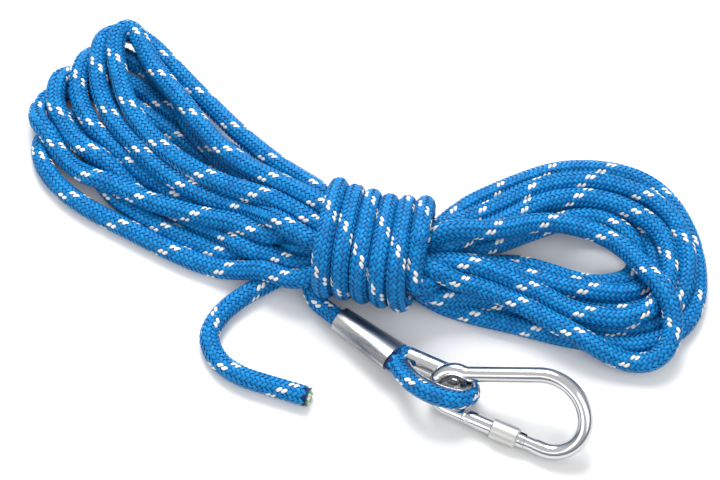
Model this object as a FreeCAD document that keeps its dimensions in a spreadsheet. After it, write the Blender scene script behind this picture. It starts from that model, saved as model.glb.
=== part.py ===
import FreeCAD, Part
import Sketcher
import os
from math import asin, atan2, cos, degrees, hypot, pi, radians, sin, sqrt, tan

# A hank of braided rope, tied round its middle by its own turns, with a free
# tail and an eye that a pressed ferrule closes round a thimble. A screw-gate
# carabiner hangs in the eye. X runs along the hank, +Y is its back, +Z is up,
# and the origin is under the middle of the tie, on the surface it rests on.

Vector = FreeCAD.Vector
Rotation = FreeCAD.Rotation
Placement = FreeCAD.Placement
X_AXIS, Y_AXIS, Z_AXIS = Vector(1, 0, 0), Vector(0, 1, 0), Vector(0, 0, 1)

doc = FreeCAD.newDocument("rope_hank")

# --- driving dimensions, in millimetres and degrees ---------------------------

DIMENSIONS = (
    ("rope_dia", 10.0, "outside of the braided sheath"),
    ("core_dia", 7.2, "bundle of core yarns inside the sheath"),
    ("tie_turns", 6, "turns of rope round the middle of the hank"),
    ("tie_pitch", 9.5, "from one turn of the tie to the next"),
    ("bundle_height", 28.0, "strands of the hank where the tie grips them"),
    ("bundle_flat", 15.0, "straight top and bottom of that bundle"),
    ("eye_x", 27.9, "start of the thimble on the back limb"),
    ("eye_y", -48.2, "start of the thimble on the back limb"),
    ("eye_gap", 0.15, "thimble's lowest point to the surface it rests on"),
    ("eye_heading", -10.9, "direction of the back limb, seen from above"),
    ("eye_tilt", 34.0, "front limb raised by this angle"),
    ("eye_length", 27.6, "straight back limb, up to the crown"),
    ("crown_bend", 10.7, "bend of the rope's middle round the crown"),
    ("front_bend", 24.5, "bend of the rope's middle along the front limb"),
    ("front_sweep", 144.0, "where that bend ends, from the back limb's direction"),
    ("leg_bend", 6.0, "counter bend of the front leg into the ferrule"),
    ("leg_turn", 50.0, "angle of that counter bend"),
    ("leg_run", 4.0, "straight end of each leg, up to and into the ferrule"),
    ("eye_depth", 23.3, "back limb's middle to the front limb's, at the widest"),
    ("swing_along", 18.0, "point in the eye that the carabiner swings round"),
    ("swing_in", 5.5, "that point, from the back limb's middle"),
    ("thimble_wall", 1.0, "sheet that the thimble is rolled from"),
    ("thimble_lip", 0.5, "straight edge beyond the thimble's half round"),
    ("ferrule_length", 36.5, "along the rope"),
    ("ferrule_heading", -23.5, "direction of its axis, seen from above"),
    ("ferrule_slope", 2.6, "its axis rises towards the eye"),
    ("ferrule_width", 22.6, "across both legs, at the eye's end"),
    ("ferrule_thick", 13.6, "through the legs"),
    ("ferrule_neck", 15.0, "width where one leg comes out"),
    ("ferrule_wall", 1.8, "aluminium round the legs"),
    ("ferrule_bite", 2.0, "legs' straight ends inside the ferrule's end"),
    ("rod_dia", 8.0, "steel rod that the carabiner is bent from"),
    ("ring_bend", 10.3, "rod's middle, round the small end"),
    ("shoulder_bend", 22.9, "rod's middle, spine to the wide end"),
    ("foot_bend", 16.0, "rod's middle, wide end to the nose"),
    ("neck_bend", 6.0, "counter bend between the ring and the spine"),
    ("foot_reach", 50.7, "foot bend's centre, along the spine from the ring's"),
    ("foot_drop", 14.4, "foot bend's centre, below the ring's"),
    ("nose_length", 9.5, "straight rod between the foot bend and the gate"),
    ("nose_dia", 7.2, "turned end of the nose that the sleeve slides over"),
    ("nose_turned", 5.2, "length of that turned end"),
    ("lug_length", 8.6, "straight rod between the ring and the gate"),
    ("clip_x", 55.8, "middle of the carabiner's ring"),
    ("clip_y", -63.4, "middle of the carabiner's ring"),
    ("clip_heading", -10.2, "direction of the gate, seen from above"),
    ("clip_tilt", 38.6, "spine raised by this angle"),
    ("tongue_thick", 2.6, "flat tongues on the lug and on the nose"),
    ("tongue_gap", 0.35, "each side of a tongue in its slot"),
    ("gate_dia", 8.0, "outside of the gate"),
    ("gate_bore", 4.6, "spring's bore in the gate"),
    ("gate_gap", 0.3, "between the gate's ends and the rod"),
    ("gate_opening", 28.0, "degrees that the gate swings in"),
    ("bore_depth", 24.0, "from the hinge end of the gate"),
    ("hinge_dia", 2.5, "hinge pin"),
    ("hinge_along", 3.1, "pin from the end of the lug"),
    ("hinge_drop", 1.2, "pin to the outer side of the gate's axis"),
    ("hinge_play", 0.05, "between the pin and the tongue's bore, all round"),
    ("heel_end", 2.6, "flat heel of the lug's tongue, beyond the pin"),
    ("heel_high", 3.0, "tongue's inner edge above the pin"),
    ("catch_dia", 1.4, "cross pin that the nose holds"),
    ("catch_back", 1.5, "cross pin from the free end of the gate"),
    ("catch_gap", 0.3, "between the cross pin and its notch"),
    ("catch_wall", 0.5, "nose's tongue beyond the notch"),
    ("catch_low", 3.2, "nose's tongue to the outer side of the gate's axis"),
    ("plunger_dia", 4.4, "plunger in the gate's bore"),
    ("plunger_length", 3.6, "plunger"),
    ("plunger_gap", 0.2, "between the plunger and the tongue's heel"),
    ("spring_wire", 0.6, "spring"),
    ("spring_dia", 4.2, "outside of the spring"),
    ("spring_turns", 9, "spring"),
    ("sleeve_dia", 10.8, "outside of the locking sleeve"),
    ("sleeve_play", 0.08, "between the sleeve and the gate, all round"),
    ("sleeve_length", 14.5, "locking sleeve"),
    ("sleeve_gap", 0.7, "between the open sleeve and the nose's tongue"),
    ("sleeve_bevel", 0.7, "edges of the sleeve"),
)

sheet = doc.addObject("Spreadsheet::Sheet", "Dims")
for row, (alias, value, note) in enumerate(DIMENSIONS, start=1):
    sheet.set("A%d" % row, alias)
    sheet.set("B%d" % row, str(value))
    sheet.set("C%d" % row, note)
    sheet.setAlias("B%d" % row, alias)
doc.recompute()


def dim(alias):
    """Value of one cell of the sheet."""
    return float(sheet.get(alias))


# --- routes of the rope where it isn't coiled -------------------------------

# Free tail: out of the underside of the hank, round a tight bend and along the
# surface to its cut end.
TAIL_ROUTE = (
    Vector(-49, -18, 15),
    Vector(-57, -26, 11),
    Vector(-66, -36, 7),
    Vector(-74, -48, 5),
    Vector(-77, -63, 5),
    Vector(-68, -75, 5),
    Vector(-54, -81, 5),
    Vector(-36, -82, 5),
    Vector(-16, -83, 5),
)

# Standing part: from under the hank, beside the tie, to the ferrule.
LEAD_ROUTE = (
    Vector(-34.5, -7, 15),
    Vector(-34.5, -20.5, 11.5),
    Vector(-28.5, -29.2, 8.3),
)

# Outline of the loose loops each side of the tie, from the tie outwards:
# distance along X, front and back edge, underside and top.
LEFT_LOOPS = (
    (-60, -29, 39, 3, 40),
    (-95, -27, 63, 0, 36),
    (-135, -23, 89, 0, 34),
    (-170, -13, 105, 0, 32),
    (-195, 1, 103, 0, 28),
    (-214, 23, 79, 0, 20),
)
RIGHT_LOOPS = (
    (60, -24, 67, 1, 38),
    (95, -27, 95, 0, 30),
    (130, -33, 93, 0, 26),
    (150, -27, 79, 0, 24),
    (167, -7, 49, 0, 18),
)

# --- helpers ----------------------------------------------------------------


def name_node(obj, node):
    """Give a finished sub-part the label that names its file."""
    obj.Label = node
    return obj


def wire_object(name, edges):
    """A path for a sweep, as an object of its own."""
    path = doc.addObject("Part::Feature", name)
    path.Shape = Part.Wire(edges)
    return path


def rounded_edges(route, name=None):
    """Straight runs joined by tangent arcs, and the arcs' radii."""
    edges, radii = [], []
    start = route[0]
    for before, corner, after in zip(route, route[1:], route[2:]):
        back, ahead = before - corner, after - corner
        turn = pi - back.getAngle(ahead)
        run = min(back.Length, ahead.Length)
        radius = 0.45 * run / tan(turn / 2)
        reach = 0.45 * run
        into = corner + back.normalize() * reach
        out = corner + ahead.normalize() * reach
        bisector = (back + ahead).normalize()
        middle = corner + bisector * (radius / cos(turn / 2) - radius)
        edges.append(Part.LineSegment(start, into).toShape())
        edges.append(Part.Arc(into, middle, out).toShape())
        radii.append(radius)
        start = out
    edges.append(Part.LineSegment(start, route[-1]).toShape())
    if name:
        print(name, "bend radii", [round(r, 1) for r in radii])
    return edges


def disc_section(name, alias, edges):
    """Round section across the start of a path, its size from one cell."""
    edge = edges[0]
    place = edge.valueAt(edge.FirstParameter)
    along = edge.tangentAt(edge.FirstParameter)
    disc = doc.addObject("Part::Circle", name)
    disc.setExpression("Radius", "Dims.%s / 2" % alias)
    disc.Placement = Placement(place, Rotation(Z_AXIS, along))
    return disc


def sweep(name, section, path):
    """Solid of one section carried along a path."""
    solid = doc.addObject("Part::Sweep", name)
    solid.Sections = [section]
    solid.Spine = (path, ["Edge%d" % n for n in range(1, len(path.Shape.Edges) + 1)])
    solid.Solid = True
    solid.Frenet = False
    return solid


def cut(name, base, tool):
    result = doc.addObject("Part::Cut", name)
    result.Base, result.Tool = base, tool
    return result


def cut_each(name, base, *tools):
    """Cut one tool after another; the last cut has the given name."""
    for number, tool in enumerate(tools[:-1], start=1):
        base = cut("%s_cut_%d" % (name, number), base, tool)
    return cut(name, base, tools[-1])


def fuse(name, *shapes):
    result = doc.addObject("Part::MultiFuse", name)
    result.Shapes = list(shapes)
    return result


def rope_tube(node, edges):
    """Sheath and core of one stretch of rope, as two sub-parts."""
    path = wire_object(node + "_path", edges)
    core = sweep(node + "_core", disc_section(node + "_core_disc", "core_dia", edges), path)
    whole = sweep(node + "_whole", disc_section(node + "_disc", "rope_dia", edges), path)
    inside = sweep(node + "_inside", disc_section(node + "_inside_disc", "core_dia", edges), path)
    sheath = cut(node + "_sheath", whole, inside)
    return name_node(sheath, node + "_sheath"), name_node(core, node + "_core"), path


# --- the tie and the hank ---------------------------------------------------

tie_length = dim("tie_turns") * dim("tie_pitch")


def stadium_sketch(body, name, grow):
    """Sketch across X: a half round each side of a straight top and bottom."""
    sketch = body.newObject("Sketcher::SketchObject", name)
    plane = [f for f in body.Origin.OriginFeatures if f.Role == "YZ_Plane"][0]
    sketch.AttachmentSupport = [(plane, "")]
    sketch.MapMode = "FlatFace"
    for extra in grow:
        radius = dim("bundle_height") / 2 + extra
        half = dim("bundle_flat") / 2
        level = dim("bundle_height") / 2 + dim("rope_dia")
        right, left = Vector(half, level, 0), Vector(-half, level, 0)
        arcs = (Part.Arc(Part.Circle(right, Z_AXIS, radius), -pi / 2, pi / 2),
                Part.Arc(Part.Circle(left, Z_AXIS, radius), pi / 2, 3 * pi / 2))
        first = sketch.addGeometry(arcs[0], False)
        second = sketch.addGeometry(arcs[1], False)
        above = sketch.addGeometry(Part.LineSegment(
            Vector(half, level + radius, 0), Vector(-half, level + radius, 0)), False)
        below = sketch.addGeometry(Part.LineSegment(
            Vector(-half, level - radius, 0), Vector(half, level - radius, 0)), False)
        constrain_stadium(sketch, first, second, above, below, extra)
    return sketch


def constrain_stadium(sketch, first, second, above, below, extra):
    """Tie one stadium's arcs and lines to the sheet."""
    tag = "in" if extra == 0 else "out"
    for arc, end, line, line_end in ((first, 2, above, 1), (above, 2, second, 1),
                                     (second, 2, below, 1), (below, 2, first, 1)):
        sketch.addConstraint(Sketcher.Constraint("Tangent", arc, end, line, line_end))
    sketch.addConstraint(Sketcher.Constraint("Radius", first, dim("bundle_height") / 2 + extra))
    sketch.renameConstraint(sketch.ConstraintCount - 1, "radius_" + tag)
    sketch.addConstraint(Sketcher.Constraint("DistanceX", -1, 1, first, 3, dim("bundle_flat") / 2))
    sketch.renameConstraint(sketch.ConstraintCount - 1, "half_" + tag)
    sketch.addConstraint(Sketcher.Constraint("DistanceX", second, 3, -1, 1, dim("bundle_flat") / 2))
    sketch.renameConstraint(sketch.ConstraintCount - 1, "other_half_" + tag)
    level = dim("bundle_height") / 2 + dim("rope_dia")
    sketch.addConstraint(Sketcher.Constraint("DistanceY", -1, 1, first, 3, level))
    sketch.renameConstraint(sketch.ConstraintCount - 1, "level_" + tag)
    grown = "" if extra == 0 else " + Dims.rope_dia"
    sketch.setExpression("Constraints.radius_" + tag, "Dims.bundle_height / 2" + grown)
    sketch.setExpression("Constraints.half_" + tag, "Dims.bundle_flat / 2")
    sketch.setExpression("Constraints.other_half_" + tag, "Dims.bundle_flat / 2")
    sketch.setExpression("Constraints.level_" + tag, "Dims.bundle_height / 2 + Dims.rope_dia")


def tie_body(node, grow):
    """Pad of one or two stadiums, as long as the tie and centred on X = 0."""
    body = doc.addObject("PartDesign::Body", node)
    sketch = stadium_sketch(body, node + "_outline", grow)
    pad = body.newObject("PartDesign::Pad", node + "_pad")
    pad.Profile = sketch
    pad.setExpression("Length", "Dims.tie_turns * Dims.tie_pitch")
    pad.Midplane = True
    return name_node(body, node)


rope_wrap = tie_body("rope_wrap", (0, dim("rope_dia")))
rope_hank_middle = tie_body("rope_hank_middle", (0,))


def loops_section(name, x, front, back, under, top):
    """Oval across X."""
    oval = doc.addObject("Part::Ellipse", name)
    across, high = (back - front) / 2, (top - under) / 2
    oval.MajorRadius, oval.MinorRadius = across, high
    turn = Rotation(Y_AXIS, Z_AXIS, X_AXIS, "ZXY")
    oval.Placement = Placement(Vector(x, (front + back) / 2, (top + under) / 2), turn)
    return oval


def loops_solid(node, side, outline):
    """Outer shape of the loose loops on one side of the tie."""
    half = dim("bundle_flat") / 2 + dim("bundle_height") / 2
    under = dim("rope_dia")
    mouth = (side * tie_length / 2, -half, half, under, under + dim("bundle_height"))
    sections = [loops_section("%s_oval_%d" % (node, n), *station)
                for n, station in enumerate((mouth,) + outline)]
    loft = doc.addObject("Part::Loft", node)
    loft.Sections = sections
    loft.Solid = True
    loft.Ruled = True
    return name_node(loft, node)


rope_hank_left = loops_solid("rope_hank_left", -1, LEFT_LOOPS)
rope_hank_right = loops_solid("rope_hank_right", 1, RIGHT_LOOPS)

# --- the eye's plane: X along the back limb, Y to the front, raised limb ------

eye_turn = Rotation(Z_AXIS, dim("eye_heading")) * Rotation(X_AXIS, 180 - dim("eye_tilt"))
eye_lift = dim("rope_dia") / 2 + dim("thimble_wall") + dim("eye_gap")
eye_place = Placement(Vector(dim("eye_x"), dim("eye_y"), eye_lift), eye_turn)

crown_centre = Vector(dim("eye_length"), dim("crown_bend"), 0)
front_drop = dim("eye_depth") - dim("front_bend")
front_rise = dim("crown_bend") - front_drop
front_run = sqrt((dim("front_bend") - dim("crown_bend")) ** 2 - front_rise ** 2)
front_centre = Vector(dim("eye_length") - front_run, front_drop, 0)
join_angle = atan2(front_rise, front_run)
front_end = radians(dim("front_sweep"))


def on_circle(centre, radius, angle):
    return centre + Vector(radius * cos(angle), radius * sin(angle), 0)


def arc_edge(centre, radius, start, end):
    """Arc from one angle to another, either way round."""
    points = [on_circle(centre, radius, start + (end - start) * share) for share in (0, 0.5, 1)]
    return Part.Arc(*points).toShape()


def eye_edges():
    """Back limb, crown and front limb, in the eye's plane, as far as the thimble goes."""
    back_end = Vector(dim("eye_length"), 0, 0)
    return [Part.LineSegment(Vector(0, 0, 0), back_end).toShape(),
            arc_edge(crown_centre, dim("crown_bend"), -pi / 2, join_angle),
            arc_edge(front_centre, dim("front_bend"), join_angle, front_end)]


# The front leg turns the other way to enter the ferrule beside the back leg.
leg_centre = on_circle(front_centre, dim("front_bend") + dim("leg_bend"), front_end)
leg_angle = front_end - pi - radians(dim("leg_turn"))
front_leg = on_circle(leg_centre, dim("leg_bend"), leg_angle)
front_leg_end = front_leg + Vector(sin(leg_angle), -cos(leg_angle), 0) * dim("leg_run")
back_leg_end = Vector(front_leg_end.x, 0, 0)


def leg_edges():
    """The eye with both of its legs, from inside the ferrule and back into it."""
    back, crown, front = eye_edges()
    back = Part.LineSegment(back_leg_end, Vector(dim("eye_length"), 0, 0)).toShape()
    counter_bend = arc_edge(leg_centre, dim("leg_bend"), front_end - pi, leg_angle)
    return [back, crown, front, counter_bend,
            Part.LineSegment(front_leg, front_leg_end).toShape()]


def placed(edges, place):
    """The same edges, moved to a place."""
    moved = [edge.copy() for edge in edges]
    for edge in moved:
        edge.Placement = place
    return moved


# --- ferrule: its axis ends between the eye's two legs ------------------------

ferrule_turn = Rotation(Z_AXIS, dim("ferrule_heading")) * Rotation(Y_AXIS, -dim("ferrule_slope"))
ferrule_along = ferrule_turn.multVec(X_AXIS)
between_legs = Vector(front_leg_end.x + dim("ferrule_bite"), front_leg_end.y / 2, 0)
ferrule_end = eye_place.multVec(between_legs)
ferrule_start = ferrule_end - ferrule_along * dim("ferrule_length")


def ferrule_section(name, width, thick, distance):
    """Oval across the ferrule's axis, tilted with the eye."""
    oval = doc.addObject("Part::Ellipse", name)
    oval.setExpression("MajorRadius", width + " / 2")
    oval.setExpression("MinorRadius", thick + " / 2")
    front = eye_turn.multVec(Y_AXIS)
    wide = (front - ferrule_along * front.dot(ferrule_along)).normalize()
    turn = Rotation(wide, ferrule_along.cross(wide), ferrule_along, "ZXY")
    oval.Placement = Placement(ferrule_start + ferrule_along * distance, turn)
    return oval


def ferrule_loft(name, shrink):
    """Loft from the one-leg end to the two-leg end, less a wall all round."""
    length = dim("ferrule_length")
    less = " - 2 * Dims.ferrule_wall" if shrink else ""
    neck = ferrule_section(name + "_neck", "(Dims.ferrule_neck%s)" % less,
                           "(Dims.ferrule_thick%s)" % less, 0)
    mouth = ferrule_section(name + "_mouth", "(Dims.ferrule_width%s)" % less,
                            "(Dims.ferrule_thick%s)" % less, length)
    loft = doc.addObject("Part::Loft", name)
    loft.Sections = [neck, mouth]
    loft.Solid = True
    loft.Ruled = True
    return loft


ferrule = name_node(cut("ferrule", ferrule_loft("ferrule_outside", False),
                        ferrule_loft("ferrule_inside", True)), "ferrule")
rope_in_ferrule = name_node(ferrule_loft("rope_in_ferrule", True), "rope_in_ferrule")

# --- rope that isn't coiled ---------------------------------------------------

tail_edges = rounded_edges(TAIL_ROUTE, "tail")
rope_tail_sheath, rope_tail_core, tail_path = rope_tube("rope_tail", tail_edges)

# The last run of the standing part is as long as the rope is thick, along the axis.
lead_route = LEAD_ROUTE + (ferrule_start - ferrule_along * dim("rope_dia"), ferrule_start)
lead_edges = rounded_edges(lead_route, "lead")
rope_lead_sheath, rope_lead_core, lead_path = rope_tube("rope_lead", lead_edges)

rope_eye_sheath, rope_eye_core, eye_path = rope_tube("rope_eye", placed(leg_edges(), eye_place))

# --- thimble: a half-round channel on the inside of the eye --------------------


def thimble_section():
    """Section across the back limb's start: a channel that opens away from the eye."""
    inner = dim("rope_dia") / 2
    outer = inner + dim("thimble_wall")
    lip = dim("thimble_lip")
    # y points into the eye, z along the eye's normal
    points = [Vector(0, -lip, -outer), Vector(0, 0, -outer), Vector(0, outer, 0),
              Vector(0, 0, outer), Vector(0, -lip, outer), Vector(0, -lip, inner),
              Vector(0, 0, inner), Vector(0, inner, 0), Vector(0, 0, -inner),
              Vector(0, -lip, -inner)]
    edges = [Part.LineSegment(points[0], points[1]).toShape(),
             Part.Arc(points[1], points[2], points[3]).toShape(),
             Part.LineSegment(points[3], points[4]).toShape(),
             Part.LineSegment(points[4], points[5]).toShape(),
             Part.LineSegment(points[5], points[6]).toShape(),
             Part.Arc(points[6], points[7], points[8]).toShape(),
             Part.LineSegment(points[8], points[9]).toShape(),
             Part.LineSegment(points[9], points[0]).toShape()]
    section = doc.addObject("Part::Feature", "thimble_section")
    section.Shape = Part.Wire(placed(edges, eye_place))
    return section


thimble_path = wire_object("thimble_path", placed(eye_edges(), eye_place))
thimble = name_node(sweep("thimble", thimble_section(), thimble_path), "thimble")

# --- carabiner: drawn in its own plane, X along the spine, Y towards it -------

ring_centre = Vector(0, 0, 0)
foot_centre = Vector(dim("foot_reach"), -dim("foot_drop"), 0)
shoulder_centre = foot_centre - Vector(dim("shoulder_bend") - dim("foot_bend"), 0, 0)
spine_level = shoulder_centre.y + dim("shoulder_bend")
neck_level = spine_level + dim("neck_bend")
neck_centre = Vector(sqrt((dim("ring_bend") + dim("neck_bend")) ** 2 - neck_level ** 2), neck_level, 0)
neck_angle = atan2(neck_level, neck_centre.x)

# The gate lies along the line that touches the ring and the foot bend.
gate_angle = atan2(foot_centre.y, foot_centre.x) - asin(
    (dim("foot_bend") - dim("ring_bend")) / foot_centre.Length)
gate_along = Vector(cos(gate_angle), sin(gate_angle), 0)
gate_inward = Vector(-sin(gate_angle), cos(gate_angle), 0)
outward_angle = gate_angle - pi / 2
ring_tangent = on_circle(ring_centre, dim("ring_bend"), outward_angle)
foot_tangent = on_circle(foot_centre, dim("foot_bend"), outward_angle)
lug_end = ring_tangent + gate_along * dim("lug_length")
nose_end = foot_tangent - gate_along * dim("nose_length")
gate_span = (nose_end - lug_end).Length

clip_turn = (Rotation(Z_AXIS, dim("clip_heading")) * Rotation(X_AXIS, dim("clip_tilt"))
             * Rotation(Z_AXIS, -degrees(gate_angle)))
# It lies on the sleeve, the thickest thing along the gate.
clip_lift = dim("sleeve_dia") / 2 + dim("ring_bend") * sin(radians(dim("clip_tilt")))
clip_place = Placement(Vector(dim("clip_x"), dim("clip_y"), clip_lift), clip_turn)

# The gate's own axes: X along it from the end of the lug, Y into the clip.
gate_place = clip_place * Placement(lug_end, Rotation(Z_AXIS, degrees(gate_angle)))


def rod_edges():
    """Middle of the rod, from the nose round to the lug."""
    ring, neck = dim("ring_bend"), dim("neck_bend")
    return [Part.LineSegment(nose_end, foot_tangent).toShape(),
            arc_edge(foot_centre, dim("foot_bend"), outward_angle, 0),
            arc_edge(shoulder_centre, dim("shoulder_bend"), 0, pi / 2),
            Part.LineSegment(Vector(shoulder_centre.x, spine_level, 0),
                             Vector(neck_centre.x, spine_level, 0)).toShape(),
            arc_edge(neck_centre, neck, -pi / 2, neck_angle - pi),
            arc_edge(ring_centre, ring, neck_angle, outward_angle + 2 * pi),
            Part.LineSegment(ring_tangent, lug_end).toShape()]


def gate_cylinder(name, alias, start, length, offset=0.0):
    """Cylinder along the gate, its diameter from one cell."""
    solid = doc.addObject("Part::Cylinder", name)
    solid.setExpression("Radius", "Dims.%s / 2" % alias)
    solid.Height = length
    solid.Placement = gate_place * Placement(Vector(start, offset, 0), Rotation(Z_AXIS, X_AXIS))
    return solid


def gate_block(name, start, end, low, high, thick):
    """Block in the gate's axes, centred on the clip's plane."""
    block = doc.addObject("Part::Box", name)
    block.Length, block.Width, block.Height = end - start, high - low, thick
    block.Placement = gate_place * Placement(Vector(start, low, -thick / 2), Rotation())
    return block


def cross_pin(name, alias, extra, along, across, length):
    """Pin through the gate, square to the clip's plane."""
    pin = doc.addObject("Part::Cylinder", name)
    pin.setExpression("Radius", "Dims.%s / 2 + %g" % (alias, extra))
    pin.Height = length
    pin.Placement = gate_place * Placement(Vector(along, across, -length / 2), Rotation())
    return pin


hinge_along, hinge_across = dim("hinge_along"), -dim("hinge_drop")
gate_end = gate_span - dim("gate_gap")
catch_along = gate_end - dim("catch_back")
nose_tongue_start = catch_along - dim("catch_dia") / 2 - dim("catch_gap") - dim("catch_wall")
# How far a fused piece reaches into its neighbour, and a tool that is larger
# than anything it cuts.
BURIED = 1.0
TALL = 20.0


def lug_tongue():
    """Flat tongue that the gate's fork straddles, with a heel for the plunger."""
    end = hinge_along + dim("heel_end")
    low = hinge_across - dim("hinge_dia")
    return gate_block("lug_tongue", -BURIED, end, low, hinge_across + dim("heel_high"),
                      dim("tongue_thick"))


def nose_tongue():
    """Flat tongue on the nose, with a notch for the gate's cross pin."""
    high = dim("catch_dia") / 2
    plate = gate_block("nose_plate", nose_tongue_start, gate_span + BURIED, -dim("catch_low"),
                       high, dim("tongue_thick"))
    width = dim("catch_dia") + 2 * dim("catch_gap")
    slot = gate_block("nose_notch_slot", catch_along - width / 2, catch_along + width / 2,
                      0, TALL, TALL)
    round_end = cross_pin("nose_notch_round", "catch_dia", dim("catch_gap"), catch_along, 0, TALL)
    return cut("nose_tongue", plate, fuse("nose_notch", slot, round_end))


def carabiner_solid():
    """Bent rod, turned at the nose, with its two tongues."""
    edges = placed(rod_edges(), clip_place)
    path = wire_object("rod_path", edges)
    rod = sweep("rod", disc_section("rod_disc", "rod_dia", edges), path)
    turned = dim("nose_turned")
    ring = cut("nose_ring", gate_cylinder("nose_ring_outside", "sleeve_dia", gate_span - BURIED,
                                          turned + BURIED),
               gate_cylinder("nose_ring_inside", "nose_dia", gate_span - 2 * BURIED,
                             turned + 3 * BURIED))
    body = fuse("rod_and_tongues", cut("rod_turned", rod, ring), lug_tongue(), nose_tongue())
    bore = cross_pin("lug_bore", "hinge_dia", dim("hinge_play"), hinge_along, hinge_across, TALL)
    return name_node(cut("carabiner_body", body, bore), "carabiner_body")


carabiner_body = carabiner_solid()
slot_width = dim("tongue_thick") + 2 * dim("tongue_gap")
heel_corner = hypot(dim("heel_end"), dim("heel_high"))


def gate_solid():
    """Tube with a fork at each end; its hinge end is cut back so that it can swing."""
    tube = gate_cylinder("gate_tube", "gate_dia", dim("gate_gap"), gate_end - dim("gate_gap"))
    bore = gate_cylinder("gate_hole", "gate_bore", 0, dim("bore_depth"))
    hinge_slot = gate_block("hinge_slot", -BURIED, hinge_along + heel_corner + dim("tongue_gap"),
                            -TALL / 2, TALL / 2, slot_width)
    free_slot = gate_block("free_slot", nose_tongue_start - dim("tongue_gap"), gate_end + BURIED,
                           -TALL / 2, TALL / 2, slot_width)
    relief = doc.addObject("Part::Box", "swing_relief")
    relief.Length, relief.Width, relief.Height = TALL, TALL, TALL
    back = hinge_along - dim("gate_gap")
    relief.Placement = gate_place * Placement(
        Vector(hinge_along, hinge_across, 0), Rotation(Z_AXIS, -dim("gate_opening"))
        ) * Placement(Vector(-back - TALL, -TALL / 2, -TALL / 2), Rotation())
    hinge_hole = cross_pin("hinge_hole", "hinge_dia", 0, hinge_along, hinge_across, TALL)
    catch_hole = cross_pin("catch_hole", "catch_dia", 0, catch_along, 0, TALL)
    return name_node(cut_each("gate", tube, bore, hinge_slot, free_slot, relief,
                              hinge_hole, catch_hole), "gate")


gate = gate_solid()
hinge_reach = 2 * sqrt((dim("gate_dia") / 2) ** 2 - hinge_across ** 2)
gate_hinge_pin = name_node(cross_pin("gate_hinge_pin", "hinge_dia", 0, hinge_along,
                                     hinge_across, hinge_reach), "gate_hinge_pin")
gate_catch_pin = name_node(cross_pin("gate_catch_pin", "catch_dia", 0, catch_along, 0,
                                     dim("nose_dia")), "gate_catch_pin")

plunger_start = hinge_along + dim("heel_end") + dim("plunger_gap")
gate_plunger = name_node(gate_cylinder("gate_plunger", "plunger_dia", plunger_start,
                                       dim("plunger_length")), "gate_plunger")


def spring_solid():
    """Round wire wound between the plunger and the bottom of the bore."""
    start = plunger_start + dim("plunger_length") + dim("spring_wire") / 2
    length = dim("bore_depth") - dim("spring_wire") / 2 - start
    middle = (dim("spring_dia") - dim("spring_wire")) / 2
    helix = doc.addObject("Part::Helix", "spring_helix")
    helix.Pitch = length / dim("spring_turns")
    helix.Height = length
    helix.Radius = middle
    helix.Placement = gate_place * Placement(Vector(start, 0, 0), Rotation(Z_AXIS, X_AXIS))
    doc.recompute()
    edges = helix.Shape.Edges
    wire_disc = disc_section("spring_disc", "spring_wire", edges)
    spring = doc.addObject("Part::Sweep", "gate_spring")
    spring.Sections = [wire_disc]
    spring.Spine = (helix, ["Edge%d" % n for n in range(1, len(edges) + 1)])
    spring.Solid = True
    spring.Frenet = True
    return name_node(spring, "gate_spring")


gate_spring = spring_solid()


def sleeve_solid():
    """Knurled nut on the gate, drawn back so that the gate can open."""
    body = doc.addObject("PartDesign::Body", "locking_sleeve")
    sketch = body.newObject("Sketcher::SketchObject", "sleeve_half_section")
    plane = [f for f in body.Origin.OriginFeatures if f.Role == "XY_Plane"][0]
    sketch.AttachmentSupport = [(plane, "")]
    sketch.MapMode = "FlatFace"
    length, bevel = dim("sleeve_length"), dim("sleeve_bevel")
    inner = dim("gate_dia") / 2 + dim("sleeve_play")
    outer = dim("sleeve_dia") / 2
    corners = (Vector(0, inner, 0), Vector(length, inner, 0), Vector(length, outer - bevel, 0),
               Vector(length - bevel, outer, 0), Vector(bevel, outer, 0),
               Vector(0, outer - bevel, 0))
    for here, there in zip(corners, corners[1:] + corners[:1]):
        sketch.addGeometry(Part.LineSegment(here, there), False)
    count = len(corners)
    for line in range(count):
        sketch.addConstraint(Sketcher.Constraint("Coincident", line, 2, (line + 1) % count, 1))
    for line in (0, 3):
        sketch.addConstraint(Sketcher.Constraint("Horizontal", line))
    for line in (1, 5):
        sketch.addConstraint(Sketcher.Constraint("Vertical", line))
    sizes = (("inner", "DistanceY", -1, 1, 0, 1, inner, "Dims.gate_dia / 2 + Dims.sleeve_play"),
             ("outer", "DistanceY", -1, 1, 3, 1, outer, "Dims.sleeve_dia / 2"),
             ("start", "DistanceX", -1, 1, 3, 2, bevel, "Dims.sleeve_bevel"),
             ("length", "DistanceX", 0, 1, 0, 2, length, "Dims.sleeve_length"),
             ("front", "DistanceX", 3, 1, 1, 1, bevel, "Dims.sleeve_bevel"),
             ("front_rise", "DistanceY", 1, 2, 3, 1, bevel, "Dims.sleeve_bevel"),
             ("back_rise", "DistanceY", 5, 1, 3, 2, bevel, "Dims.sleeve_bevel"))
    for name, kind, first, end, second, other, value, rule in sizes:
        sketch.addConstraint(Sketcher.Constraint(kind, first, end, second, other, value))
        sketch.renameConstraint(sketch.ConstraintCount - 1, name)
        sketch.setExpression("Constraints." + name, rule)
    sketch.addConstraint(Sketcher.Constraint("PointOnObject", 0, 1, -2))
    turn = body.newObject("PartDesign::Revolution", "sleeve_turned")
    turn.Profile = sketch
    turn.ReferenceAxis = (sketch, ["H_Axis"])
    turn.Angle = 360
    start = nose_tongue_start - dim("sleeve_gap") - length
    body.Placement = gate_place * Placement(Vector(start, 0, 0), Rotation())
    return name_node(body, "locking_sleeve")


locking_sleeve = sleeve_solid()

# --- check and write ------------------------------------------------------------

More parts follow.
